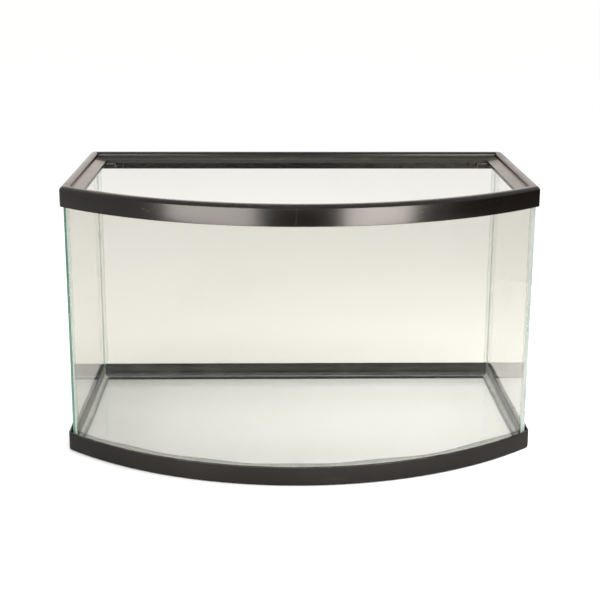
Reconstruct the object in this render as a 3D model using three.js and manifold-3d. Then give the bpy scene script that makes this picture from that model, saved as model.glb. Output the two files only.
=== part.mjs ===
// Bow-front glass aquarium tank: five glass panels bonded with silicone and held
// between a moulded top frame and a moulded base frame.
// Millimetres, +Z up. The origin is the middle of the tank's footprint on the table,
// +X runs along the width and +Y points to the flat back.
import * as THREE from 'three';
import { mergeVertices } from 'three/addons/utils/BufferGeometryUtils.js';
import Module from 'manifold-3d';

// ---- Driving dimensions ------------------------------------------------------------
const WIDTH = 600;             // across the top frame
const SIDE_DEPTH = 265;        // from the front corners to the back of the top frame
const BOW = 112;               // how far the curved front stands ahead of its corners
const HEIGHT = 350.5;
const GLASS = 5;               // thickness of every panel
const GLASS_INSET = 5;         // from the top frame's outer face to the glass
const CORNER_RADIUS = 8;       // plan radius of the frames' outer corners
const GAP = 0.3;               // clearance between pieces that meet

// Top frame section, measured in from its outer face and down from its top
const SKIRT_HEIGHT = 25.5;
const SKIRT_WALL = 2.5;
const LIP_WIDTH = 12.3;        // the raised bead round the outer edge
const LIP_OUTER_RADIUS = 5.5;
const LIP_INNER_RADIUS = 3;
const LEDGE_DROP = 6.2;        // from the lip down to the outer edge of the cover ledge
const LEDGE_FALL = 2.6;        // the ledge slopes down to the mouth, so that drips run back
const RAIL_WIDTH = 27;         // outer face to the mouth of the tank
const LEDGE_WALL = 2.4;
const LEDGE_EDGE_HEIGHT = 4.6; // turned-down edge along the mouth
const LEDGE_ROUND = 0.8;       // chamfer on that edge
const SLOT_ROOF = 3;           // plastic above the glass slot
const SLOT_WALL = 1.7;         // wall between the slot and the tank
const SLOT_DEPTH = 13.5;

// Locating tabs and ribs that hang inside the back glass, near its ends
const TAB = { from: 262, to: 283.5, depth: 22 };
const RIB = { from: 250, to: 253, depth: 22 };
const HANGER_PROUD = 0.5;      // they stand this far proud of the slot's inner wall

// Base frame section
const BASE_OUTSET = 1.1;       // the base stands this far outside the top frame
const BASE_HEIGHT = 24.8;
const BASE_WALL = 2.6;
const BASE_FOOT_RADIUS = 3;
const BASE_RIM_RADIUS = 1.2;
const FLANGE_INSET = 14;       // inner edge of the flange that carries the glass
const FLANGE_HEIGHT = 3;

// Silicone
const FILLET = 5;              // leg of the beads inside the tank
const FLOOR_JOINT = 0.6;       // glue line between the floor and the walls
const TOP_BEAD = { foot: HEIGHT - SKIRT_HEIGHT + 1.5, head: HEIGHT - 8 };
const BASE_BEAD = { foot: FLANGE_HEIGHT + 3, head: BASE_HEIGHT - 2.5 };

// Facets
const BOW_STEPS = 32;
const CORNER_STEPS = 3;
const ROUND_STEPS = 4;

// ---- Derived places ----------------------------------------------------------------
const BACK = (SIDE_DEPTH + BOW) / 2;
const FRONT_CORNER = BACK - SIDE_DEPTH;
const BOW_RADIUS = ((WIDTH / 2) ** 2 + BOW ** 2) / (2 * BOW);
const BOW_CENTRE = FRONT_CORNER - BOW + BOW_RADIUS;
const GLASS_INNER = GLASS_INSET + GLASS;
const SLOT_INSET = LIP_WIDTH - SLOT_WALL;
const PANEL_FOOT = FLANGE_HEIGHT + GAP;
const PANEL_HEAD = HEIGHT - SLOT_ROOF - 0.5;
const FLOOR_TOP = PANEL_FOOT + GLASS;
const FILLET_INSET = GLASS_INNER + GAP;
const FILLET_FOOT = FLOOR_TOP + GAP;
const SEAM_FOOT = FILLET_FOOT + FILLET + GAP;
const SEAM_HEAD = HEIGHT - SLOT_DEPTH - 1.5;

const wasm = await Module();
wasm.setup();

// ---- Materials ---------------------------------------------------------------------
const framePlastic = new THREE.MeshStandardMaterial({ color: 0x2d2b2a, roughness: 0.38, metalness: 0 });
const basePlastic = new THREE.MeshStandardMaterial({ color: 0x3b3735, roughness: 0.6, metalness: 0 });
const clearGlass = new THREE.MeshStandardMaterial({
  color: 0xdcebe4, roughness: 0.04, metalness: 0, transparent: true, opacity: 0.35,
});
const silicone = new THREE.MeshStandardMaterial({ color: 0xdadfdb, roughness: 0.3, metalness: 0 });

// ---- Plan outline ------------------------------------------------------------------
function arcPoints(centreX, centreY, radius, from, to, steps) {
  return Array.from({ length: steps + 1 }, (_, step) => {
    const angle = from + ((to - from) * step) / steps;
    return new THREE.Vector2(centreX + radius * Math.cos(angle), centreY + radius * Math.sin(angle));
  });
}

// Y of the bow at x, on the curve that lies `inset` inside the top frame's outer face.
function bowY(x, inset) {
  return BOW_CENTRE - Math.sqrt((BOW_RADIUS - inset) ** 2 - x ** 2);
}

// The tank's plan, anticlockwise, `inset` inside the top frame's outer face: the bow,
// then the right side, the back and the left side, joined by rounded corners.
// Every inset gives the same number of points, so that outlines can be joined point to point.
function outline(inset) {
  const half = WIDTH / 2 - inset;
  const radius = Math.max(CORNER_RADIUS - inset, 0.8);
  const bow = BOW_RADIUS - inset;
  const cornerX = half - radius;
  const cornerY = BOW_CENTRE - Math.sqrt((bow - radius) ** 2 - cornerX ** 2);
  const backY = BACK - inset - radius;
  const end = Math.atan2(cornerY - BOW_CENTRE, cornerX);
  return [
    ...arcPoints(0, BOW_CENTRE, bow, -Math.PI - end, end, BOW_STEPS).slice(0, -1),
    ...arcPoints(cornerX, cornerY, radius, end, 0, CORNER_STEPS),
    ...arcPoints(cornerX, backY, radius, 0, Math.PI / 2, CORNER_STEPS),
    ...arcPoints(-cornerX, backY, radius, Math.PI / 2, Math.PI, CORNER_STEPS),
    ...arcPoints(-cornerX, cornerY, radius, Math.PI, Math.PI - end, CORNER_STEPS).slice(0, -1),
  ];
}

// ---- Shape helpers -----------------------------------------------------------------
function mesh(name, geometry, material) {
  const piece = new THREE.Mesh(geometry, material);
  piece.name = name;
  return piece;
}

function boxBetween(low, high) {
  const size = high.map((value, axis) => value - low[axis]);
  const middle = high.map((value, axis) => (value + low[axis]) / 2);
  return new THREE.BoxGeometry(...size).translate(...middle);
}

function prism(points, foot, head) {
  const geometry = new THREE.ExtrudeGeometry(new THREE.Shape(points), {
    depth: head - foot, bevelEnabled: false, steps: 1,
  });
  return geometry.translate(0, 0, foot);
}

// A closed ring that carries one section round the plan outline. The section is a list of
// [inset, z] corners that starts at the foot of the outer face and goes up and over.
function ring(section) {
  const loops = section.map(([inset, z]) => outline(inset).map((point) => [point.x, point.y, z]));
  const count = loops[0].length;
  const corner = (row, column) => (row % loops.length) * count + (column % count);
  const triangles = [];
  for (let row = 0; row < loops.length; row += 1) {
    for (let column = 0; column < count; column += 1) {
      const [a, b] = [corner(row, column), corner(row, column + 1)];
      const [c, d] = [corner(row + 1, column + 1), corner(row + 1, column)];
      triangles.push(a, b, c, a, c, d);
    }
  }
  const geometry = new THREE.BufferGeometry();
  geometry.setAttribute('position', new THREE.Float32BufferAttribute(loops.flat(2), 3));
  geometry.setIndex(triangles);
  return geometry;
}

// Corners of a section's rounding. Angles are in degrees, 0 pointing outwards and 90 up.
function rounding(inset, z, radius, from, to) {
  const toRadians = Math.PI / 180;
  return arcPoints(inset, z, radius, from * toRadians, to * toRadians, ROUND_STEPS)
    .map((point) => [2 * inset - point.x, point.y]);
}

function toManifold(geometry) {
  const bare = geometry.clone();
  bare.deleteAttribute('normal');
  bare.deleteAttribute('uv');
  const merged = mergeVertices(bare, 1e-4);
  return new wasm.Manifold(new wasm.Mesh({
    numProp: 3,
    vertProperties: merged.attributes.position.array,
    triVerts: merged.index.array,
  }));
}

function join(geometries) {
  const joined = geometries.map(toManifold).reduce((whole, next) => whole.add(next));
  const { vertProperties, triVerts } = joined.getMesh();
  const geometry = new THREE.BufferGeometry();
  geometry.setAttribute('position', new THREE.Float32BufferAttribute(vertProperties, 3));
  geometry.setIndex(Array.from(triVerts));
  geometry.computeVertexNormals();
  return geometry;
}

// A band that follows the bow between two insets and ends on vertical cuts at x = -reach and +reach.
function bowBand(outer, inner, reach, foot, head) {
  const arc = (inset, side) => {
    const radius = BOW_RADIUS - inset;
    const half = Math.asin(reach / radius);
    const middle = -Math.PI / 2;
    return arcPoints(0, BOW_CENTRE, radius, middle - side * half, middle + side * half, BOW_STEPS);
  };
  return prism([...arc(outer, 1), ...arc(inner, -1)], foot, head);
}

// ---- Frames ------------------------------------------------------------------------
function topFrame() {
  const ledge = HEIGHT - LEDGE_DROP;
  const mouthLedge = ledge - LEDGE_FALL;
  const section = [
    [0, HEIGHT - SKIRT_HEIGHT],
    ...rounding(LIP_OUTER_RADIUS, HEIGHT - LIP_OUTER_RADIUS, LIP_OUTER_RADIUS, 0, 90),
    ...rounding(LIP_WIDTH - LIP_INNER_RADIUS, HEIGHT - LIP_INNER_RADIUS, LIP_INNER_RADIUS, 90, 180),
    [LIP_WIDTH, ledge],
    [RAIL_WIDTH - LEDGE_ROUND, mouthLedge],
    [RAIL_WIDTH, mouthLedge - LEDGE_ROUND],
    [RAIL_WIDTH, mouthLedge - LEDGE_EDGE_HEIGHT],
    [RAIL_WIDTH - LEDGE_WALL, mouthLedge - LEDGE_EDGE_HEIGHT],
    [RAIL_WIDTH - LEDGE_WALL, mouthLedge - LEDGE_WALL],
    [LIP_WIDTH, ledge - LEDGE_WALL],
    [LIP_WIDTH, HEIGHT - SLOT_DEPTH],
    [SLOT_INSET, HEIGHT - SLOT_DEPTH],
    [SLOT_INSET, HEIGHT - SLOT_ROOF],
    [SKIRT_WALL, HEIGHT - SLOT_ROOF],
    [SKIRT_WALL, HEIGHT - SKIRT_HEIGHT],
  ];
  const hangers = [TAB, RIB].flatMap(({ from, to, depth }) => [-1, 1].map((side) => {
    const ends = [side * from, side * to].sort((a, b) => a - b);
    const [near, far] = [BACK - LIP_WIDTH - HANGER_PROUD, BACK - SLOT_INSET];
    return boxBetween([ends[0], near, HEIGHT - depth], [ends[1], far, ledge - LEDGE_WALL / 2]);
  }));
  return mesh('top_frame', join([ring(section), ...hangers]), framePlastic);
}

function baseFrame() {
  const outer = -BASE_OUTSET;
  const inner = outer + BASE_WALL;
  const section = [
    ...rounding(outer + BASE_FOOT_RADIUS, BASE_FOOT_RADIUS, BASE_FOOT_RADIUS, -90, 0),
    ...rounding(outer + BASE_RIM_RADIUS, BASE_HEIGHT - BASE_RIM_RADIUS, BASE_RIM_RADIUS, 0, 90),
    [inner, BASE_HEIGHT],
    [inner, FLANGE_HEIGHT],
    [FLANGE_INSET, FLANGE_HEIGHT],
    [FLANGE_INSET, 0],
  ];
  return mesh('base_frame', join([ring(section)]), basePlastic);
}

// ---- Glass -------------------------------------------------------------------------
function glassPanels() {
  const outerX = WIDTH / 2 - GLASS_INSET;
  const innerX = outerX - GLASS;
  const sideFront = bowY((outerX + innerX) / 2, GLASS_INSET);
  const sides = [['left_glass', -1], ['right_glass', 1]].map(([name, side]) => {
    const ends = [side * innerX, side * outerX].sort((a, b) => a - b);
    const low = [ends[0], sideFront, PANEL_FOOT];
    return mesh(name, boxBetween(low, [ends[1], BACK - GLASS_INSET, PANEL_HEAD]), clearGlass);
  });
  const reach = innerX - GAP;
  const back = boxBetween(
    [-reach, BACK - GLASS_INNER, PANEL_FOOT],
    [reach, BACK - GLASS_INSET, PANEL_HEAD],
  );
  const front = bowBand(GLASS_INSET, GLASS_INNER, reach, PANEL_FOOT, PANEL_HEAD);
  const floor = prism(outline(GLASS_INNER + FLOOR_JOINT), PANEL_FOOT, FLOOR_TOP);
  return [
    ...sides,
    mesh('back_glass', back, clearGlass),
    mesh('front_glass', front, clearGlass),
    mesh('floor_glass', floor, clearGlass),
  ];
}

// ---- Silicone inside the tank ------------------------------------------------------
// Upright beads in the four corners where two panels meet.
function cornerSeams() {
  const cornerX = WIDTH / 2 - FILLET_INSET;
  const backY = BACK - FILLET_INSET;
  const frontY = bowY(cornerX, FILLET_INSET);
  const alongBow = cornerX - FILLET * 0.75;
  const rear = [[cornerX, backY], [cornerX - FILLET, backY], [cornerX, backY - FILLET]];
  const front = [[cornerX, frontY], [cornerX, frontY + FILLET], [alongBow, bowY(alongBow, FILLET_INSET)]];
  return [['rear', rear], ['front', front]].flatMap(([end, corners]) => [-1, 1].map((side) => {
    const points = corners.map(([x, y]) => new THREE.Vector2(side * x, y));
    const name = `${end}_${side < 0 ? 'left' : 'right'}_silicone_seam`;
    return mesh(name, prism(points, SEAM_FOOT, SEAM_HEAD), silicone);
  }));
}

// The path of the floor bead along the curved front, from left to right.
class BowPath extends THREE.Curve {
  constructor(inset, reach) {
    super();
    this.radius = BOW_RADIUS - inset;
    this.half = Math.asin(reach / this.radius);
  }

  getPoint(t, target = new THREE.Vector3()) {
    const angle = -Math.PI / 2 + this.half * (2 * t - 1);
    return target.set(
      this.radius * Math.cos(angle),
      BOW_CENTRE + this.radius * Math.sin(angle),
      FILLET_FOOT,
    );
  }
}

// A three-cornered bead laid along a level path, with the tank's inside on the path's left.
function floorBead(name, path, steps) {
  const section = new THREE.Shape([
    new THREE.Vector2(0, 0), new THREE.Vector2(0, FILLET), new THREE.Vector2(-FILLET, 0),
  ]);
  const geometry = new THREE.ExtrudeGeometry(section, { extrudePath: path, steps, bevelEnabled: false });
  return mesh(name, geometry, silicone);
}

function floorSeams() {
  const wallX = WIDTH / 2 - FILLET_INSET;
  const wallY = BACK - FILLET_INSET;
  const reach = wallX - FILLET - GAP;
  const sideFront = bowY(wallX, FILLET_INSET) + GAP;
  const straight = (from, to) => new THREE.LineCurve3(
    new THREE.Vector3(from[0], from[1], FILLET_FOOT),
    new THREE.Vector3(to[0], to[1], FILLET_FOOT),
  );
  return [
    floorBead('front_floor_silicone', new BowPath(FILLET_INSET, reach), BOW_STEPS),
    floorBead('right_floor_silicone', straight([wallX, sideFront], [wallX, wallY]), 1),
    floorBead('rear_floor_silicone', straight([reach, wallY], [-reach, wallY]), 1),
    floorBead('left_floor_silicone', straight([-wallX, wallY], [-wallX, sideFront]), 1),
  ];
}

// ---- Silicone that holds each frame to the outside of the glass ---------------------
function frameBeads(frameName, frameWall, { foot, head }) {
  const outer = frameWall + GAP;
  const inner = GLASS_INSET - GAP;
  const [outerX, innerX] = [WIDTH / 2 - outer, WIDTH / 2 - inner];
  const [outerY, innerY] = [BACK - outer, BACK - inner];
  const reach = innerX - FILLET;
  const sideFront = bowY(innerX, GLASS_INSET) + FILLET;
  const beads = [
    ['front', bowBand(outer, inner, reach, foot, head)],
    ['rear', boxBetween([-reach, innerY, foot], [reach, outerY, head])],
    ['left', boxBetween([-outerX, sideFront, foot], [-innerX, innerY - FILLET, head])],
    ['right', boxBetween([innerX, sideFront, foot], [outerX, innerY - FILLET, head])],
  ];
  return beads.map(([side, geometry]) => mesh(`${frameName}_bead_${side}`, geometry, silicone));
}

// ---- Assembly ----------------------------------------------------------------------
const group = new THREE.Group();
group.add(
  topFrame(),
  baseFrame(),
  ...glassPanels(),
  ...cornerSeams(),
  ...floorSeams(),
  ...frameBeads('top', SKIRT_WALL, TOP_BEAD),
  ...frameBeads('base', BASE_WALL - BASE_OUTSET, BASE_BEAD),
);

export default group;
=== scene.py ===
"""A bow-front glass aquarium tank: five glass panes bonded with clear silicone, held between
a moulded top frame and a moulded base frame. Metres, +Z up, +X along the width and +Y to the
flat back, in the frame of the CAD model."""
import math

import bmesh
import bpy
from mathutils import Matrix, Vector


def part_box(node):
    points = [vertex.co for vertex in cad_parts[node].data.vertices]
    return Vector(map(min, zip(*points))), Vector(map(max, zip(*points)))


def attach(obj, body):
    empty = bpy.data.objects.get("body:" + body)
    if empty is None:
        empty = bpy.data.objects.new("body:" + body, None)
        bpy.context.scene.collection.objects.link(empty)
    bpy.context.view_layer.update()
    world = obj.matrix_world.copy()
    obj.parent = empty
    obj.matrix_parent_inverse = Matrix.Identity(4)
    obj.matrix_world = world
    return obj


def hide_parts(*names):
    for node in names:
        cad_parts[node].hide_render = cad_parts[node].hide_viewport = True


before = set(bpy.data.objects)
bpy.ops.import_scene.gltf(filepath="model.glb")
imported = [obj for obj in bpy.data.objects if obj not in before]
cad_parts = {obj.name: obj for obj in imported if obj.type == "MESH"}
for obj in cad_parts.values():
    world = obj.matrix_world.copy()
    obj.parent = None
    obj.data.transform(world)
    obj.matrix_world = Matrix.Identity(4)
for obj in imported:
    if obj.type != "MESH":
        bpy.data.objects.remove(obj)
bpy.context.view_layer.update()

MM = 0.001
BODY = "root"

# ---- Driving sizes, from the frame ---------------------------------------------------
top_low, top_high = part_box("top_frame")
base_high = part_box("base_frame")[1]
pane_low, pane_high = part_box("right_glass")
floor_low, floor_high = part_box("floor_glass")
bow_low, bow_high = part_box("front_glass")
back_low, back_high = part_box("back_glass")

HALF_WIDTH = top_high.x
BACK = top_high.y
FRONT = top_low.y
HEIGHT = top_high.z
SKIRT_FOOT = top_low.z
BASE_RIM = base_high.z
BASE_OUTSET = base_high.x - top_high.x

BOW = 112 * MM                       # the curved front stands this far ahead of its corners
BOW_RADIUS = (HALF_WIDTH**2 + BOW**2) / (2 * BOW)
BOW_CENTRE = FRONT + BOW_RADIUS

GLASS_INSET = HALF_WIDTH - pane_high.x
GLASS = pane_high.x - pane_low.x
GLASS_INNER = GLASS_INSET + GLASS
FLOOR_TOP = floor_high.z

# Top frame section, in from its outer face and down from its top
CORNER_RADIUS = 8 * MM
SKIRT_WALL = 2.5 * MM
LIP_WIDTH = 12.3 * MM
LIP_OUTER_RADIUS = 5.5 * MM
LIP_INNER_RADIUS = 3 * MM
LEDGE = HEIGHT - 6.2 * MM            # the cover ledge at the lip
MOUTH_LEDGE = LEDGE - 2.6 * MM       # and at the mouth, where it is lower
LEDGE_WALL = 2.4 * MM
LEDGE_EDGE = 4.6 * MM
RAIL_WIDTH = 27 * MM
SLOT_ROOF = 3 * MM
SLOT_INSET = 10.6 * MM
SLOT_DEPTH = 13.5 * MM

# What hangs inside the back glass: where it starts and ends from the middle, and its depth
TAB = (262 * MM, 283.5 * MM, 22 * MM)
RIB = (250 * MM, 253 * MM, 22 * MM)
HANGER_WEAR = {TAB: 0.1, RIB: 1.0}   # how rubbed each looks
HANGER_PROUD = 0.5 * MM

# Base frame section
BASE_WALL = 2.6 * MM
FLANGE_INSET = 14 * MM
FLANGE = 3 * MM

BEAD = 5.5 * MM                      # leg of the silicone beads inside the tank
BEAD_STEPS = 7                       # faces across the hollow of a bead
BEAD_HOLLOW = 0.42                   # how far the tool pressed the middle of a bead in
SIDE_SPREAD = 1.5                    # the beads along the sides are this much wider
FILM = 17.6 * MM                     # height of the thin film wiped up the walls
HAIRLINE = 0.05 * MM                 # left between silicone and glass
FRAME_BEAD_GAP = 0.3 * MM            # left between the glass and the beads in the frames
BEAD_END_GAP = 1 * MM                # left at each end of those beads
ARRIS = 0.45 * MM                    # bevel ground along the edges of the panes
BOW_STEPS = 120
CORNER_STEPS = 8


# ---- Plan of the tank ----------------------------------------------------------------
def arc(centre, radius, start, end, steps):
    """Points on an arc, both ends included. Angles are in radians."""
    angles = [start + (end - start) * i / steps for i in range(steps + 1)]
    return [(centre[0] + radius * math.cos(a), centre[1] + radius * math.sin(a)) for a in angles]


def bow_y(x, inset):
    return BOW_CENTRE - math.sqrt((BOW_RADIUS - inset) ** 2 - x**2)


def bow_points(inset, reach, steps=BOW_STEPS):
    """The bow from left to right between x = -reach and x = reach."""
    half = math.asin(reach / (BOW_RADIUS - inset))
    middle = -math.pi / 2
    return arc((0, BOW_CENTRE), BOW_RADIUS - inset, middle - half, middle + half, steps)


def outline(inset):
    """The plan with rounded corners, anticlockwise, inset from the top frame's outer face.
    Every inset gives the same number of points, so outlines join point to point."""
    half = HALF_WIDTH - inset
    radius = max(CORNER_RADIUS - inset, 0.8 * MM)
    bow = BOW_RADIUS - inset
    corner_x = half - radius
    corner_y = BOW_CENTRE - math.sqrt((bow - radius) ** 2 - corner_x**2)
    back_y = BACK - inset - radius
    end = math.atan2(corner_y - BOW_CENTRE, corner_x)
    quarter = math.pi / 2
    return (
        arc((0, BOW_CENTRE), bow, -math.pi - end, end, BOW_STEPS)[:-1]
        + arc((corner_x, corner_y), radius, end, 0, CORNER_STEPS)
        + arc((corner_x, back_y), radius, 0, quarter, CORNER_STEPS)
        + arc((-corner_x, back_y), radius, quarter, 2 * quarter, CORNER_STEPS)
        + arc((-corner_x, corner_y), radius, math.pi, math.pi - end, CORNER_STEPS)[:-1]
    )


def side_path(side, inset, steps):
    """One side of the plan with sharp corners, anticlockwise, so that at every inset the
    ends of neighbouring sides meet in a mitre."""
    half, back = HALF_WIDTH - inset, BACK - inset
    if side == "front":
        return bow_points(inset, half, steps)
    corner = bow_y(half, inset)
    (ax, ay), (bx, by) = {
        "right": ((half, corner), (half, back)),
        "rear": ((half, back), (-half, back)),
        "left": ((-half, back), (-half, corner)),
    }[side]
    return [(ax + (bx - ax) * i / steps, ay + (by - ay) * i / steps) for i in range(steps + 1)]


# ---- Mesh building -------------------------------------------------------------------
def link(name, mesh):
    piece = bpy.data.objects.new(name, mesh)
    bpy.context.scene.collection.objects.link(piece)
    return piece


def place(piece, node):
    """Puts a finished piece in the model, in the place of the CAD node that it stands for."""
    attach(piece, BODY)
    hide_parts(node)


def smooth(mesh, angle=32):
    mesh.polygons.foreach_set("use_smooth", [True] * len(mesh.polygons))
    mesh.set_sharp_from_angle(angle=math.radians(angle))
    return mesh


def rounded(corners, steps=4):
    """Rounds each corner (inset, z, radius) of a closed section. Gives (inset, z, edge) points,
    where edge is 1 in the middle of a small rounding and 0 on the flats."""
    points = []
    for i, (inset, z, radius) in enumerate(corners):
        corner = Vector((inset, z))
        back = (Vector(corners[i - 1][:2]) - corner).normalized()
        on = (Vector(corners[(i + 1) % len(corners)][:2]) - corner).normalized()
        half = back.angle(on) / 2
        reach = radius / math.tan(half)
        centre = corner + (back + on).normalized() * (radius / math.sin(half))
        start, end = corner + back * reach - centre, corner + on * reach - centre
        wear = min(1.0, 1.2 * MM / radius)
        for step in range(steps + 1):
            share = step / steps
            spot = centre + start.lerp(end, share).normalized() * radius
            points.append((spot.x, spot.y, wear * math.sin(math.pi * share)))
    return points


def loft(name, loops, marks, closed_path=True):
    """A closed skin through loops of 3-D points that have the same number of points. The loops
    follow a section round, so the last joins the first. marks gives each loop's edge value.
    A skin that doesn't close along its path is capped at both ends."""
    count = len(loops[0])
    verts = [point for loop in loops for point in loop]
    faces = []
    for row in range(len(loops)):
        this, after = row * count, (row + 1) % len(loops) * count
        for i in range(count if closed_path else count - 1):
            j = (i + 1) % count
            faces.append((this + i, this + j, after + j, after + i))
    if not closed_path:
        faces.append([row * count for row in range(len(loops))])
        faces.append([row * count + count - 1 for row in reversed(range(len(loops)))])
    mesh = bpy.data.meshes.new(name)
    mesh.from_pydata(verts, [], faces)
    edge = mesh.attributes.new("edge", "FLOAT", "POINT")
    edge.data.foreach_set("value", [mark for mark in marks for _ in range(count)])
    return mesh


def ring(name, section):
    """A section of (inset, z, edge) points carried round the whole plan."""
    loops = [[(x, y, z) for x, y in outline(inset)] for inset, z, _ in section]
    return loft(name, loops, [mark for _, _, mark in section])


def rounded_block(low, high, radius, wear):
    """A block with rounded edges, as a bmesh whose edge value is wear all over."""
    block = bmesh.new()
    size, middle = high - low, (low + high) / 2
    bmesh.ops.create_cube(block, size=1)
    bmesh.ops.transform(
        block, verts=block.verts, matrix=Matrix.Translation(middle) @ Matrix.Diagonal((*size, 1))
    )
    bmesh.ops.bevel(
        block, geom=block.edges, offset=radius, segments=2, profile=0.5, affect="EDGES"
    )
    edge = block.verts.layers.float.new("edge")
    for vert in block.verts:
        vert[edge] = wear
    return block


def add_to(mesh, part):
    """Adds the faces of a bmesh to a mesh."""
    whole = bmesh.new()
    whole.from_mesh(mesh)
    extra = bpy.data.meshes.new("extra")
    part.to_mesh(extra)
    whole.from_mesh(extra)
    whole.to_mesh(mesh)
    bpy.data.meshes.remove(extra)
    whole.free()
    part.free()


# ---- Geometry Nodes ------------------------------------------------------------------
class Tree:
    """A Geometry Nodes tree with named inputs for its sizes."""

    def __init__(self, name, **sizes):
        self.tree = bpy.data.node_groups.new(name, "GeometryNodeTree")
        self.identifiers = {}
        self.add_input("Geometry", "NodeSocketGeometry")
        for label, kind in sizes.items():
            self.add_input(label.replace("_", " "), kind)
        self.tree.interface.new_socket(
            "Geometry", in_out="OUTPUT", socket_type="NodeSocketGeometry"
        )
        self.inputs = self.tree.nodes.new("NodeGroupInput").outputs

    def add_input(self, label, kind):
        socket = self.tree.interface.new_socket(label, in_out="INPUT", socket_type=kind)
        self.identifiers[label] = socket.identifier

    def node(self, kind, settings=None, sockets=None, output=0):
        """Adds a node, sets it up and gives one of its outputs."""
        node = self.tree.nodes.new(kind)
        for setting, value in (settings or {}).items():
            setattr(node, setting, value)
        for socket, value in (sockets or {}).items():
            if isinstance(value, bpy.types.NodeSocket):
                self.tree.links.new(value, node.inputs[socket])
            else:
                node.inputs[socket].default_value = value
        return node.outputs[output]

    def finish(self, geometry, material):
        """Ends the tree: its instances become plain faces with their material."""
        real = self.node("GeometryNodeRealizeInstances", sockets={"Geometry": geometry})
        dressed = self.node(
            "GeometryNodeSetMaterial", sockets={"Geometry": real, "Material": material}
        )
        end = self.tree.nodes.new("NodeGroupOutput")
        self.tree.links.new(dressed, end.inputs[0])

    def make(self, name, source, **values):
        """Runs the tree on an object and gives the result as a plain mesh piece."""
        modifier = source.modifiers.new(name, "NODES")
        modifier.node_group = self.tree
        for label, value in values.items():
            modifier[self.identifiers[label.replace("_", " ")]] = value
        evaluated = source.evaluated_get(bpy.context.evaluated_depsgraph_get())
        mesh = bpy.data.meshes.new_from_object(evaluated)
        mesh.name = name
        source.modifiers.remove(modifier)
        bpy.data.objects.remove(source)
        return link(name, mesh)


def curve_object(name, points, closed=False):
    """A poly curve through 3-D points, to carry a tree."""
    curve = bpy.data.curves.new(name, "CURVE")
    curve.dimensions = "3D"
    spline = curve.splines.new("POLY")
    spline.points.add(len(points) - 1)
    for spot, point in zip(spline.points, points):
        spot.co = (*point, 1)
    spline.use_cyclic_u = closed
    piece = bpy.data.objects.new(name, curve)
    bpy.context.scene.collection.objects.link(piece)
    return piece


# ---- Shader maths --------------------------------------------------------------------
class Value:
    """A number that varies over a surface. Arithmetic on it adds Math nodes to its shader."""

    def __init__(self, shader, socket):
        self.shader = shader
        self.socket = socket

    def __add__(self, other):
        return self.shader.math("ADD", self, other)

    def __sub__(self, other):
        return self.shader.math("SUBTRACT", self, other)

    def __rsub__(self, other):
        return self.shader.math("SUBTRACT", other, self)

    def __mul__(self, other):
        return self.shader.math("MULTIPLY", self, other)

    __radd__ = __add__
    __rmul__ = __mul__


class Shader:
    """A procedural material in the making."""

    def __init__(self, name):
        self.material = bpy.data.materials.new(name)
        self.material.use_nodes = True
        self.tree = self.material.node_tree
        self.tree.nodes.clear()
        self.place = self.node("ShaderNodeTexCoord", output="Object")

    def node(self, kind, settings=None, sockets=None, output=0):
        """Adds a node, sets it up and gives one of its outputs. Sockets take values or links."""
        node = self.tree.nodes.new(kind)
        for setting, value in (settings or {}).items():
            setattr(node, setting, value)
        for socket, value in (sockets or {}).items():
            if isinstance(value, Value):
                self.tree.links.new(value.socket, node.inputs[socket])
            else:
                node.inputs[socket].default_value = value
        return Value(self, node.outputs[output])

    def math(self, operation, a, b):
        return self.node("ShaderNodeMath", {"operation": operation}, {0: a, 1: b})

    def noise(self, scale, detail=3.0, roughness=0.55, where=None):
        sockets = {"Vector": where or self.place, "Scale": scale, "Detail": detail}
        return self.node("ShaderNodeTexNoise", {}, {**sockets, "Roughness": roughness})

    def stretched(self, scale, rotation=(0, 0, 0)):
        """The surface's place, stretched by a scale for each axis."""
        sockets = {"Vector": self.place, "Scale": scale, "Rotation": rotation}
        return self.node("ShaderNodeMapping", {}, sockets)

    def ramp(self, value, start, end):
        """Rises smoothly from 0 to 1 as value goes from start to end."""
        sockets = {0: value, 1: start, 2: end}
        return self.node("ShaderNodeMapRange", {"interpolation_type": "SMOOTHSTEP"}, sockets)

    def attribute(self, name):
        return self.node("ShaderNodeAttribute", {"attribute_name": name}, {}, "Fac")

    def axis(self, vector, name):
        return self.node("ShaderNodeSeparateXYZ", {}, {0: vector}, name)

    def facing_up(self):
        normal = self.node("ShaderNodeNewGeometry", output="Normal")
        return self.ramp(self.axis(normal, "Z"), 0.55, 0.98)

    def blend(self, share, colour, other):
        sockets = {0: share, 6: colour, 7: other}
        return self.node("ShaderNodeMix", {"data_type": "RGBA"}, sockets, 2)

    def bump(self, height, depth, below=None):
        sockets = {"Height": height, "Strength": 1.0, "Distance": depth}
        if below:
            sockets["Normal"] = below
        return self.node("ShaderNodeBump", {}, sockets)

    def plastic(self, colour, roughness, normal, **fixed):
        sockets = {"Base Color": colour, "Roughness": roughness, "Normal": normal}
        sockets.update({label.replace("_", " "): value for label, value in fixed.items()})
        return self.node("ShaderNodeBsdfPrincipled", {}, sockets)

    def see_through(self, colour):
        return self.node("ShaderNodeBsdfTransparent", {}, {"Color": colour})

    def lay_over(self, share, under, over):
        """Shows over where share is 1 and under where it is 0."""
        return self.node("ShaderNodeMixShader", {}, {0: share, 1: under, 2: over})

    def finish(self, surface):
        out = self.tree.nodes.new("ShaderNodeOutputMaterial")
        self.tree.links.new(surface.socket, out.inputs["Surface"])
        return self.material


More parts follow.
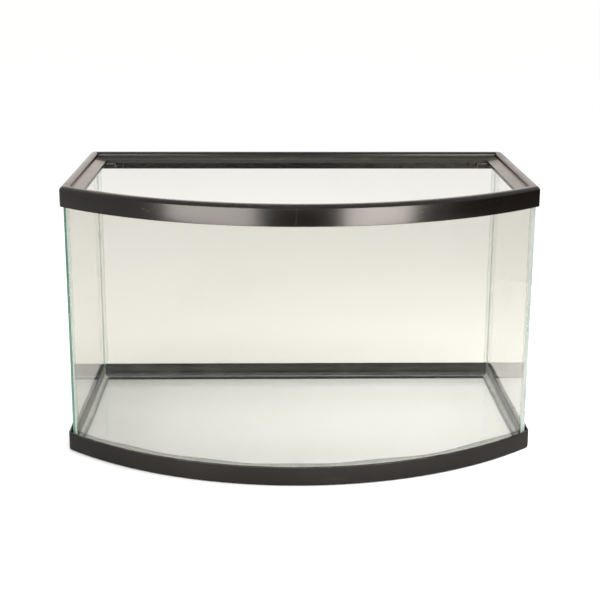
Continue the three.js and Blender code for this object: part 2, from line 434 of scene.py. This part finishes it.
# ---- Materials -----------------------------------------------------------------------
def satin_black_plastic():
    """The top frame's moulded plastic: satin, with flow marks, rubbed edges and fine dust, and
    duller on the inside of the rear rail."""
    deep, faded = (0.0068, 0.0048, 0.0040, 1), (0.0100, 0.0073, 0.0060, 1)
    rubbed, scratched = (0.035, 0.032, 0.030, 1), (0.030, 0.028, 0.027, 1)
    dusty, filmed = (0.19, 0.16, 0.13, 1), (0.20, 0.175, 0.148, 1)
    s = Shader("satin_black_plastic")
    cloud = s.noise(6, 4)
    flow = s.noise(1, 4, 0.6, s.stretched((2.5, 2.5, 60)))
    grain = s.noise(900, 2, 0.5)
    scratch = s.ramp(s.noise(1, 2, 0.5, s.stretched((5, 260, 320), (0, 0, 0.35))), 0.70, 0.76)
    worn = s.attribute("edge") * s.ramp(s.noise(45, 4, 0.65), 0.40, 0.62)
    dust = s.facing_up() * s.ramp(s.noise(30, 6, 0.7), 0.42, 0.75) * s.ramp(cloud, 0.35, 0.65)
    ledge = s.ramp(s.axis(s.place, "Z"), LEDGE + 1.5 * MM, LEDGE + 0.5 * MM)
    film = ledge * s.facing_up() * (0.75 + 0.5 * s.noise(55, 5, 0.6))
    seam = knit_line(s)
    colour = s.blend(s.ramp(cloud, 0.3, 0.7), deep, faded)
    colour = s.blend(0.55 * worn, colour, rubbed)
    colour = s.blend(0.24 * dust, colour, dusty)
    colour = s.blend(0.07 * film, colour, filmed)
    colour = s.blend(0.35 * scratch, colour, scratched)
    roughness = 0.165 + 0.05 * flow + 0.04 * cloud + 0.16 * dust + 0.10 * scratch - 0.05 * worn
    roughness = roughness + 0.06 * s.facing_up() * (1 - ledge)
    back = s.axis(s.place, "Y")
    rear_rail = s.ramp(back, BACK - 40 * MM, BACK - 36 * MM)
    inside = rear_rail * s.ramp(back, BACK - 3 * MM, BACK - 5 * MM)
    roughness = roughness + 0.38 * inside * ledge
    normal = s.bump(grain, 0.012 * MM)
    normal = s.bump(flow, 0.02 * MM, normal)
    normal = s.bump(s.noise(14, 2, 0.45), 0.45 * MM, normal)
    normal = s.bump(seam, 0.07 * MM, normal)
    return s.finish(s.plastic(colour, roughness, normal, Specular_IOR_Level=0.22))


def knit_line(s):
    """A faint line at the middle of the front, where the plastic met in the mould."""
    x = s.axis(s.place, "X") + 7 * MM + 0.008 * s.noise(30, 2)
    line = s.ramp(x, 3.2 * MM, 4.0 * MM) - s.ramp(x, 4.0 * MM, 4.8 * MM)
    return line * s.ramp(s.axis(s.place, "Y"), FRONT + 8 * MM, FRONT + 2 * MM)


def matte_black_plastic():
    """The base frame's moulded plastic: matte, finely grained and a little scuffed."""
    deep, faded = (0.0095, 0.0074, 0.0063, 1), (0.0160, 0.0128, 0.0109, 1)
    scuffed, rubbed = (0.055, 0.050, 0.047, 1), (0.075, 0.070, 0.065, 1)
    dusty = (0.26, 0.25, 0.23, 1)
    s = Shader("matte_black_plastic")
    cloud = s.noise(5, 4)
    grain = s.noise(650, 3, 0.6)
    scuff = s.ramp(s.noise(1, 5, 0.7, s.stretched((14, 14, 90))), 0.58, 0.74)
    worn = s.attribute("edge") * s.ramp(s.noise(60, 4, 0.65), 0.42, 0.62)
    dust = s.facing_up() * s.ramp(s.noise(40, 5, 0.7), 0.40, 0.70)
    colour = s.blend(s.ramp(cloud, 0.3, 0.7), deep, faded)
    colour = s.blend(0.40 * scuff, colour, scuffed)
    colour = s.blend(0.55 * worn, colour, rubbed)
    colour = s.blend(0.30 * dust, colour, dusty)
    roughness = 0.50 + 0.10 * cloud + 0.08 * scuff + 0.12 * dust - 0.10 * worn
    normal = s.bump(grain, 0.03 * MM)
    normal = s.bump(s.noise(18, 3, 0.5), 0.5 * MM, normal)
    return s.finish(s.plastic(colour, roughness, normal, Specular_IOR_Level=0.15))


COATED = (0.12, 0.12, 0.12, 1)       # keeps the panes from mirroring the room head-on


def lamp_light(s):
    """1 for light that comes straight from a lamp, which the glass lets through."""
    return s.node("ShaderNodeLightPath", output="Is Shadow Ray")


def clear_glass(name, tint, smudge_scale):
    """Float glass with a tint, wiped smudges and dried water marks."""
    smudged = (tint[0] * 0.975, tint[1] * 0.975, tint[2] * 0.97, 1)
    s = Shader(name)
    strokes = s.stretched((smudge_scale, 3, 9), (0.3, 0, 0.2))
    wiped = s.ramp(s.noise(1, 4, 0.6, strokes), 0.5, 0.72)
    spots = s.ramp(s.noise(70, 3, 0.6), 0.66, 0.74) * s.ramp(s.noise(5, 2), 0.48, 0.62)
    haze = s.ramp(wiped + spots, 0.0, 1.6)
    colour = s.blend(haze, (*tint, 1), smudged)
    roughness = 0.022 * haze
    normal = s.bump(s.noise(2.2, 1, 0.3), 0.35 * MM)
    glass = s.plastic(
        colour, roughness, normal, IOR=1.5, Transmission_Weight=1.0, Specular_Tint=COATED
    )
    return s.finish(s.lay_over(lamp_light(s), glass, s.see_through((0.985, 0.99, 0.98, 1))))


def cut_edge():
    """The ground edges of the panes, where the glass shows its green body: pale, except on the
    outer half of the two end panes, and there deeper at the left end than at the right, a
    change that is partly the glass's own green and partly painted light and shade. The edges
    at both ends carry painted light too: a weak emission that stands in for light that has
    travelled along inside the pane."""
    deep_green, soft_green = (0.10, 0.25, 0.16, 1), (0.18, 0.38, 0.27, 1)
    pale_green, near_white = (0.58, 0.70, 0.62, 1), (0.78, 0.86, 0.80, 1)
    further_in, chipped = (0.80, 0.88, 0.80, 1), (0.62, 0.76, 0.68, 1)
    s = Shader("glass_cut_edge")
    along = s.noise(1, 3, 0.6, s.stretched((120, 120, 14)))
    nicks = s.ramp(s.noise(260, 3, 0.6), 0.62, 0.72)
    green = s.blend(s.ramp(along, 0.3, 0.7), deep_green, soft_green)
    pale = s.blend(s.ramp(along, 0.3, 0.7), pale_green, near_white)
    across = s.axis(s.place, "X")
    # Painted light and shade: the edges go from deep green at the left to pale at the right, as
    # if light from behind comes through the right end more than the left; the green itself is
    # the glass's own.
    colour = s.blend(s.ramp(across, -0.25, 0.25), green, pale)
    off_centre = s.math("ABSOLUTE", across, 0)
    outer_half = s.ramp(off_centre, HALF_WIDTH - 8.6 * MM, HALF_WIDTH - 7.6 * MM)
    colour = s.blend(outer_half, further_in, colour)
    colour = s.blend(0.5 * nicks, colour, chipped)
    roughness = 0.20 + 0.16 * along + 0.2 * nicks
    normal = s.bump(s.noise(420, 2), 0.05 * MM)
    # Painted light: the edges at both ends emit a little of their own colour, though they are no
    # lamp.
    painted_glow = s.blend(s.ramp(off_centre, 280 * MM, 284 * MM), (0, 0, 0, 1), colour)
    return s.finish(s.plastic(
        colour, roughness, normal, IOR=1.5, Transmission_Weight=0.45, Emission_Color=painted_glow,
        Emission_Strength=0.18,
    ))


def clear_silicone(name, body, line, smears, haze=0.006):
    """Cured silicone. The edge value is 0 where it is thick and milky, 0.5 where it is a clear
    film, and 1 on the darker line where it ends. The numbers are how solid each looks, and
    haze is how solid the whole skin looks."""
    cloudy, milky = (0.70, 0.72, 0.68, 1), (0.84, 0.85, 0.81, 1)
    smeared, line_grey = (0.55, 0.56, 0.52, 1), (0.15, 0.155, 0.145, 1)
    s = Shader(name)
    edge = s.attribute("edge")
    ripple = s.noise(60, 3, 0.5)
    smear = s.ramp(s.noise(22, 4, 0.6), 0.45, 0.70)
    rim = s.ramp(edge, 0.60, 0.98)
    colour = s.blend(s.ramp(ripple, 0.3, 0.7), cloudy, milky)
    colour = s.blend(0.35 * smear, colour, smeared)
    colour = s.blend(rim, colour, line_grey)
    roughness = 0.26 + 0.16 * ripple
    normal = s.bump(s.noise(130, 2, 0.5), 0.08 * MM)
    skin = s.plastic(colour, roughness, normal, IOR=1.41)
    share = body * (1 - s.ramp(edge, 0.0, 0.5)) + line * rim + smears * smear + haze
    return s.finish(s.lay_over(share, s.see_through((0.97, 0.98, 0.97, 1)), skin))


def table_top():
    """The pale surface that the tank stands on."""
    s = Shader("pale_table")
    shade = s.blend(s.noise(1.5, 2), (0.90, 0.90, 0.895, 1), (0.915, 0.915, 0.91, 1))
    normal = s.bump(s.noise(400, 2), 0.02 * MM)
    return s.finish(s.plastic(shade, 0.9 + 0.05 * s.noise(3, 2), normal, Specular_IOR_Level=0.0))


def dark_card():
    """The cards that keep light off the plastic."""
    s = Shader("dark_card")
    shade = s.blend(s.noise(3, 2), (0.010, 0.010, 0.010, 1), (0.014, 0.014, 0.014, 1))
    normal = s.bump(s.noise(300, 2), 0.02 * MM)
    return s.finish(s.plastic(shade, 0.9 + 0.05 * s.noise(3, 2), normal, Specular_IOR_Level=0.0))


TOP_PLASTIC = satin_black_plastic()
DARK_CARD = dark_card()
BASE_PLASTIC = matte_black_plastic()
# Partly the glass's own tint and partly painted shade: darker and warmer than clear float glass,
# it darkens everything seen through the walls.
WALL_TINT_AND_SHADE = (0.775, 0.765, 0.728)
FLOOR_TINT = (0.985, 0.995, 0.985)
WALL_GLASS = clear_glass("clear_wall_glass", WALL_TINT_AND_SHADE, 6)
FLOOR_GLASS = clear_glass("clear_floor_glass", FLOOR_TINT, 4)
CUT_EDGE = cut_edge()
CORNER_SILICONE = clear_silicone("corner_silicone", 0.05, 0.10, 0.03)
FLOOR_SILICONE = clear_silicone("floor_silicone", 0.16, 0.38, 0.05)
SIDE_SILICONE = clear_silicone("side_silicone", 0.40, 0.10, 0.22, 0.34)
FRAME_SILICONE = clear_silicone("frame_silicone", 0.003, 0.003, 0.008, 0.001)
TAB_SILICONE = clear_silicone("tab_silicone", 0.30, 0.0, 0.25, 0.45)


# ---- Frames --------------------------------------------------------------------------
def top_frame_moulding():
    """Skirt outside the glass, rounded lip, sloped cover ledge with a turned-down edge, and
    the slot that sits on the panes. Tabs and ribs hang from it at the back corners."""
    small = 0.5 * MM
    section = rounded([
        (0, SKIRT_FOOT, small),
        (0, HEIGHT, LIP_OUTER_RADIUS),
        (LIP_WIDTH, HEIGHT, LIP_INNER_RADIUS),
        (LIP_WIDTH, LEDGE, 0.9 * MM),
        (RAIL_WIDTH, MOUTH_LEDGE, 0.9 * MM),
        (RAIL_WIDTH, MOUTH_LEDGE - LEDGE_EDGE, small),
        (RAIL_WIDTH - LEDGE_WALL, MOUTH_LEDGE - LEDGE_EDGE, small),
        (RAIL_WIDTH - LEDGE_WALL, MOUTH_LEDGE - LEDGE_WALL, small),
        (LIP_WIDTH, LEDGE - LEDGE_WALL, small),
        (LIP_WIDTH, HEIGHT - SLOT_DEPTH, small),
        (SLOT_INSET, HEIGHT - SLOT_DEPTH, small),
        (SLOT_INSET, HEIGHT - SLOT_ROOF, small),
        (SKIRT_WALL, HEIGHT - SLOT_ROOF, small),
        (SKIRT_WALL, SKIRT_FOOT, small),
    ], 5)
    mesh = ring("top_frame_moulding", section)
    near, far = BACK - LIP_WIDTH - HANGER_PROUD, BACK - SLOT_INSET
    for side in (-1, 1):
        for (start, end, depth), wear in HANGER_WEAR.items():
            left, right = sorted((side * start, side * end))
            low = Vector((left, near, HEIGHT - depth))
            high = Vector((right, far, LEDGE - LEDGE_WALL / 2))
            add_to(mesh, rounded_block(low, high, 0.35 * MM, wear))
    mesh.materials.append(TOP_PLASTIC)
    place(link("top_frame_moulding", smooth(mesh)), "top_frame")


def base_frame_moulding():
    """The base: a wall outside the glass and a flange under it that carries the tank."""
    outer, inner = -BASE_OUTSET, BASE_WALL - BASE_OUTSET
    section = rounded([
        (outer, 0, 3 * MM),
        (outer, BASE_RIM, 1.2 * MM),
        (inner, BASE_RIM, 0.6 * MM),
        (inner, FLANGE, 0.5 * MM),
        (FLANGE_INSET, FLANGE, 0.7 * MM),
        (FLANGE_INSET, 0, 0.7 * MM),
    ], 5)
    mesh = ring("base_frame_moulding", section)
    mesh.materials.append(BASE_PLASTIC)
    place(link("base_frame_moulding", smooth(mesh)), "base_frame")


# ---- Glass ---------------------------------------------------------------------------
def pane(name, node, plan, foot, head, glass, broad):
    """A pane from its plan, with arrised edges. broad says which faces are clear glass; the
    others are cut edges."""
    shape = bmesh.new()
    base = [shape.verts.new((x, y, foot)) for x, y in plan]
    top = [shape.verts.new((x, y, head)) for x, y in plan]
    shape.faces.new(list(reversed(base)))
    shape.faces.new(top)
    for i in range(len(plan)):
        j = (i + 1) % len(plan)
        shape.faces.new((base[i], base[j], top[j], top[i]))
    shape.normal_update()
    sharp = [edge for edge in shape.edges if edge.calc_face_angle() > math.radians(35)]
    bmesh.ops.bevel(shape, geom=sharp, offset=ARRIS, segments=1, profile=0.5, affect="EDGES")
    shape.normal_update()
    for face in shape.faces:
        face.material_index = 0 if broad(face) else 1
    mesh = bpy.data.meshes.new(name)
    shape.to_mesh(mesh)
    shape.free()
    mesh.materials.append(glass)
    mesh.materials.append(CUT_EDGE)
    place(link(name, smooth(mesh, 20)), node)


def glass_panes():
    """The five panes, each in its CAD node's box."""
    for name in ("left", "right"):
        low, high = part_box(f"{name}_glass")
        plan = [(low.x, low.y), (high.x, low.y), (high.x, high.y), (low.x, high.y)]
        pane(
            f"{name}_pane", f"{name}_glass", plan, low.z, high.z, WALL_GLASS,
            lambda face: abs(face.normal.x) > 0.99,
        )
    plan = [
        (back_low.x, back_low.y), (back_high.x, back_low.y),
        (back_high.x, back_high.y), (back_low.x, back_high.y),
    ]
    pane(
        "back_pane", "back_glass", plan, back_low.z, back_high.z, WALL_GLASS,
        lambda face: abs(face.normal.y) > 0.99,
    )
    reach = bow_high.x
    plan = bow_points(GLASS_INSET, reach) + list(reversed(bow_points(GLASS_INNER, reach)))
    arris_area = 500 * MM * MM           # more than an arris has, less than a strip of the bend
    pane(
        "bow_front_pane", "front_glass", plan, bow_low.z, bow_high.z, WALL_GLASS,
        lambda face: abs(face.normal.z) < 0.1 and face.calc_area() > arris_area,
    )
    inset = HALF_WIDTH - floor_high.x
    pane(
        "floor_pane", "floor_glass", outline(inset), floor_low.z, floor_high.z, FLOOR_GLASS,
        lambda face: abs(face.normal.z) > 0.99,
    )


# ---- Silicone inside the tank --------------------------------------------------------
def waver(x, y):
    """A slow wander between -1 and 1 that doesn't jump from one side of the tank to the next."""
    return math.sin(41 * x + 13 * y) * math.sin(17 * x - 29 * y + 1)


def fillet():
    """The concave face of a tooled bead, as distances from the corner along the two walls."""
    points = []
    for i in range(BEAD_STEPS + 1):
        share = i / BEAD_STEPS
        sag = 1 - BEAD_HOLLOW * math.sin(math.pi * share)
        points.append((BEAD * (1 - share) * sag, BEAD * share * sag))
    return points


def thin_at_ends(i):
    """The edge value across a bead's face: 0 in its thick middle and 1 where it thins out."""
    return abs(2 * i / BEAD_STEPS - 1) ** 2


def turn_outwards(mesh):
    """Makes all faces of a closed mesh point out."""
    shape = bmesh.new()
    shape.from_mesh(mesh)
    bmesh.ops.recalc_face_normals(shape, faces=shape.faces)
    shape.to_mesh(mesh)
    shape.free()
    return mesh


def floor_bead_section():
    """Rows of (out from the wall, up from the floor, edge value, how far it wavers out, and
    up). Above the bead a thin film runs up the wall, wiped off in an uneven line."""
    rows = [(0, 0, 0.5, 0, 0)]
    for i, (out, up) in enumerate(fillet()[:-1]):
        edge = thin_at_ends(i) if i < 4 else 0
        rows.append((out, up, edge, 0.5 if i < 3 else 0, 0))
    film = [
        (0.7 * MM, BEAD, 0.5),
        (0.30 * MM, FILM - 1.1 * MM, 0.5),
        (0.22 * MM, FILM, 1),
        (0, FILM, 1),
    ]
    for out, up, edge in film:
        rows.append((out, up, edge, 0, 1.3 * MM if up > BEAD else 0))
    return rows


def floor_beads():
    """Tooled beads where the floor meets the walls, mitred at the corners."""
    wall, foot = GLASS_INNER + HAIRLINE, FLOOR_TOP + HAIRLINE
    section = floor_bead_section()
    marks = [row[2] for row in section]
    for side, count in {"front": BOW_STEPS, "right": 50, "rear": 90, "left": 50}.items():
        spread, silicone = 1, FLOOR_SILICONE
        if side in ("left", "right"):
            spread, silicone = SIDE_SPREAD, SIDE_SILICONE
        loops = []
        for narrow, up, _, stray_out, stray_up in section:
            out = spread * narrow
            near = side_path(side, wall + out, count)
            far = side_path(side, wall + out + 1 * MM, count)
            loops.append([
                (ax + (bx - ax) * stray_out * waver(ax, ay),
                 ay + (by - ay) * stray_out * waver(ax, ay),
                 foot + up + stray_up * waver(ax, ay))
                for (ax, ay), (bx, by) in zip(near, far)
            ])
        mesh = turn_outwards(loft(f"{side}_floor_bead", loops, marks, False))
        mesh.materials.append(silicone)
        place(link(mesh.name, smooth(mesh, 60)), f"{side}_floor_silicone")


def corner_beads():
    """Tooled beads up the four corners, where two panes meet."""
    low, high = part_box("rear_left_silicone_seam")
    steps = 70
    inset = GLASS_INNER + HAIRLINE
    corner_x = HALF_WIDTH - inset
    slope = math.asin(corner_x / (BOW_RADIUS - inset))
    along_bow = Vector((-math.cos(slope), -math.sin(slope)))
    ends = {
        "rear": (BACK - inset, Vector((-1, 0)), Vector((0, -1))),
        "front": (bow_y(corner_x, inset), along_bow, Vector((0, 1))),
    }
    section = [(0.0, 0.0)] + fillet()
    marks = [0.5] + [thin_at_ends(i) for i in range(BEAD_STEPS + 1)]
    for end, (corner_y, along_pane, along_side) in ends.items():
        for side, hand in (("left", -1), ("right", 1)):
            swell = [
                1 + 0.09 * math.sin(0.31 * i + hand) * math.sin(0.13 * i)
                for i in range(steps + 1)
            ]
            loops = []
            for a, b in section:
                out = a * along_pane + b * along_side
                loops.append([
                    (hand * (corner_x + out.x * wide), corner_y + out.y * wide,
                     low.z + (high.z - low.z) * i / steps)
                    for i, wide in enumerate(swell)
                ])
            name = f"{end}_{side}_corner_bead"
            mesh = turn_outwards(loft(name, loops, marks, False))
            mesh.materials.append(CORNER_SILICONE)
            place(link(name, smooth(mesh, 60)), f"{end}_{side}_silicone_seam")


# ---- Silicone behind the frames ------------------------------------------------------
def bead_tree(material):
    """Carries a profile along a path and makes the skin waver as squeezed silicone does."""
    tree = Tree(
        "squeezed_bead", Profile="NodeSocketObject", Waver="NodeSocketFloat",
        Waver_Scale="NodeSocketFloat",
    )
    upright = tree.node(
        "GeometryNodeSetCurveNormal", {"mode": "Z_UP"}, {"Curve": tree.inputs["Geometry"]}
    )
    even = tree.node(
        "GeometryNodeResampleCurve", {"mode": "LENGTH"}, {"Curve": upright, "Length": 4 * MM}
    )
    upright_again = tree.node("GeometryNodeSetCurveNormal", {"mode": "Z_UP"}, {"Curve": even})
    profile = tree.node(
        "GeometryNodeObjectInfo", {}, {"Object": tree.inputs["Profile"]}, "Geometry"
    )
    skin = tree.node(
        "GeometryNodeCurveToMesh", {},
        {"Curve": upright_again, "Profile Curve": profile, "Fill Caps": True},
    )
    noise = tree.node(
        "ShaderNodeTexNoise", {}, {"Scale": tree.inputs["Waver Scale"], "Detail": 2.0}
    )
    centred = tree.node("ShaderNodeMath", {"operation": "SUBTRACT"}, {0: noise, 1: 0.5})
    lift = tree.node(
        "ShaderNodeMath", {"operation": "MULTIPLY"}, {0: centred, 1: tree.inputs["Waver"]}
    )
    offset = tree.node("ShaderNodeCombineXYZ", {}, {"Z": lift})
    waved = tree.node("GeometryNodeSetPosition", {}, {"Geometry": skin, "Offset": offset})
    smoothed = tree.node("GeometryNodeSetShadeSmooth", {}, {"Geometry": waved})
    tree.finish(smoothed, material)
    return tree


def frame_beads():
    """Silicone that holds each frame to the outside of the glass, one bead for each side."""
    tree = bead_tree(FRAME_SILICONE)
    for which in ("top", "base"):
        for side in ("front", "rear", "left", "right"):
            node = f"{which}_bead_{side}"
            low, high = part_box(node)
            outer_face = HALF_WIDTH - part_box(f"{which}_bead_right")[1].x
            thick = GLASS_INSET - FRAME_BEAD_GAP - outer_face
            middle = GLASS_INSET - FRAME_BEAD_GAP - thick / 2
            path = bead_path(side, middle, low, high)
            z = (low.z + high.z) / 2
            room_to_waver = 0.8 * MM
            half_tall = (high.z - low.z) / 2 - room_to_waver
            profile = rounded_profile(f"{node}_profile", thick / 2, half_tall)
            source = curve_object(f"{node}_path", [(x, y, z) for x, y in path])
            piece = tree.make(
                f"{node}_run", source, Profile=profile, Waver=1.2 * MM, Waver_Scale=38.0
            )
            bpy.data.objects.remove(profile)
            place(piece, node)


def bead_path(side, inset, low, high):
    """The middle line of a frame bead, within the length of its CAD node."""
    if side == "front":
        return bow_points(inset, high.x - BEAD_END_GAP, BOW_STEPS // 2)
    if side == "rear":
        y = BACK - inset
        return [(high.x - BEAD_END_GAP, y), (low.x + BEAD_END_GAP, y)]
    x = HALF_WIDTH - inset
    ends = [(x, low.y + BEAD_END_GAP), (x, high.y - BEAD_END_GAP)]
    return ends if side == "right" else [(-px, py) for px, py in reversed(ends)]


def rounded_profile(name, half_thick, half_tall):
    """A flat oblong with round ends, anticlockwise."""
    ends = arc((0, half_tall - half_thick), half_thick, 0, math.pi, 6)
    ends += arc((0, half_thick - half_tall), half_thick, math.pi, 2 * math.pi, 6)
    return curve_object(name, [(x, y, 0) for x, y in ends], closed=True)


def tab_sealant():
    """A thin trace of silicone along the top and the inner side of each locating tab."""
    tree = bead_tree(TAB_SILICONE)
    start, end, depth = TAB
    radius = 0.5 * MM
    y = BACK - LIP_WIDTH - HANGER_PROUD - radius
    foot, top = HEIGHT - depth + 1 * MM, HEIGHT - depth + 5.5 * MM
    for side, name in ((-1, "left"), (1, "right")):
        inner, outer = side * (start + radius), side * (end - 1 * MM)
        path = [(inner, y, foot), (inner, y, top), (outer, y, top)]
        profile = rounded_profile("trace_profile", radius, 1.15 * radius)
        source = curve_object("trace_path", path)
        piece = tree.make(
            f"{name}_tab_sealant", source, Profile=profile, Waver=0.6 * MM, Waver_Scale=90.0
        )
        bpy.data.objects.remove(profile)
        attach(piece, BODY)


top_frame_moulding()
base_frame_moulding()
glass_panes()
floor_beads()
corner_beads()
frame_beads()
tab_sealant()


# ---- Camera --------------------------------------------------------------------------
def set_camera():
    """A view from just left of the middle, looking down at the curved front."""
    standpoint = (-0.030, -1.5257, 0.6394)
    yaw, pitch, roll = math.radians(1.165), math.radians(13.85), math.radians(0.22)
    ahead = Vector((
        math.sin(yaw) * math.cos(pitch), math.cos(yaw) * math.cos(pitch), -math.sin(pitch)
    ))
    right = Vector((math.cos(yaw), -math.sin(yaw), 0))
    up = right.cross(ahead)
    right, up = (
        math.cos(roll) * right + math.sin(roll) * up,
        math.cos(roll) * up - math.sin(roll) * right,
    )
    data = bpy.data.cameras.new("camera")
    data.sensor_width = 36
    data.lens = 71.3
    data.shift_y = -0.1
    data.clip_end = 200
    camera = bpy.data.objects.new("camera", data)
    turn = Matrix((right, up, -ahead)).transposed().to_4x4()
    camera.matrix_world = Matrix.Translation(standpoint) @ turn
    bpy.context.scene.collection.objects.link(camera)
    bpy.context.scene.camera = camera


# ---- Stage and light -----------------------------------------------------------------
def set_stage():
    """The table top, which reaches out of sight on all sides."""
    reach = 30.0
    mesh = bpy.data.meshes.new("table")
    corners = [(-reach, -reach, 0), (reach, -reach, 0), (reach, reach, 0), (-reach, reach, 0)]
    mesh.from_pydata(corners, [], [(0, 1, 2, 3)])
    mesh.materials.append(table_top())
    link("table", mesh)


def set_world(strength):
    """A plain white room of one brightness."""
    world = bpy.data.worlds.new("white_room")
    world.use_nodes = True
    background = world.node_tree.nodes["Background"]
    background.inputs["Color"].default_value = (1, 1, 1, 1)
    background.inputs["Strength"].default_value = strength
    bpy.context.scene.world = world
    bpy.context.scene.view_settings.view_transform = "Standard"


def light_only(lamp, lights):
    """Limits a lamp to the objects in lights, where there are any."""
    if lights:
        chosen = bpy.data.collections.new(f"{lamp.name}_lights")
        for piece in lights:
            chosen.objects.link(piece)
        lamp.light_linking.receiver_collection = chosen


def softbox(name, middle, aim, width, height, brightness, colour, lights):
    """A lit panel that shows only as a reflection, on the pieces in lights."""
    data = bpy.data.lights.new(name, "AREA")
    data.shape = "RECTANGLE"
    data.size = width
    data.size_y = height
    data.color = colour
    data.energy = brightness * math.pi * width * height
    lamp = bpy.data.objects.new(name, data)
    lamp.location = middle
    lamp.rotation_euler = (Vector(aim) - Vector(middle)).to_track_quat("-Z", "Z").to_euler()
    lamp.visible_camera = False
    lamp.visible_diffuse = False
    lamp.visible_transmission = False
    light_only(lamp, lights)
    bpy.context.scene.collection.objects.link(lamp)


def overhead_light(name, x, height, size, brightness, spread=180, lights=None):
    """A soft light above the table, on all pieces or on the ones it lights. One that is kept
    to a few pieces throws no shadows."""
    data = bpy.data.lights.new(name, "AREA")
    data.size = size
    data.spread = math.radians(spread)
    data.energy = brightness * math.pi * size**2
    data.use_shadow = not lights
    lamp = bpy.data.objects.new(name, data)
    lamp.location = (x, 0, height)
    lamp.visible_camera = False
    lamp.visible_glossy = False
    lamp.visible_transmission = False
    light_only(lamp, lights)
    bpy.context.scene.collection.objects.link(lamp)


def dark_flag(name, corners):
    """A dark card that shows only as a reflection, and darkens the glossy plastic."""
    mesh = bpy.data.meshes.new(name)
    mesh.from_pydata(corners, [], [(0, 1, 2, 3)])
    mesh.materials.append(DARK_CARD)
    card = link(name, mesh)
    card.visible_camera = False
    card.visible_diffuse = False
    card.visible_transmission = False
    card.visible_shadow = False


set_camera()
set_stage()
set_world(1.10)
frames = [bpy.data.objects[name] for name in ("top_frame_moulding", "base_frame_moulding")]
softbox(
    "back_panel", middle=(0, 3.0, 0.80), aim=(0, 0, 0.8), width=8.0, height=1.5,
    brightness=0.75, colour=(1.0, 0.80, 0.62), lights=frames,
)
softbox(
    "left_softbox", middle=(-0.42, -0.65, 0.30), aim=(-0.42, 0, 0.30), width=0.50, height=0.40,
    brightness=21, colour=(1, 0.93, 0.865), lights=frames,
)
softbox(
    "right_softbox", middle=(0.355, -0.65, 0.30), aim=(0.355, 0, 0.30), width=0.34, height=0.40,
    brightness=31, colour=(1, 0.93, 0.86), lights=frames,
)
overhead_light("overhead_light", x=0, height=1.7, size=1.2, brightness=3.9)
overhead_light(
    "table_light", x=0.33, height=0.9, size=0.45, brightness=2.3, spread=95,
    lights=[bpy.data.objects["table"]],
)
dark_flag("side_flag", [(1.1, -0.8, 0), (1.1, 0.9, 0), (1.1, 0.9, 0.6), (1.1, -0.8, 0.6)])
dark_flag("front_flag", [
    (-1.0, -3.6, 0.01), (1.5, -3.6, 0.01), (1.5, -1.0, 0.01), (-1.0, -1.0, 0.01),
])
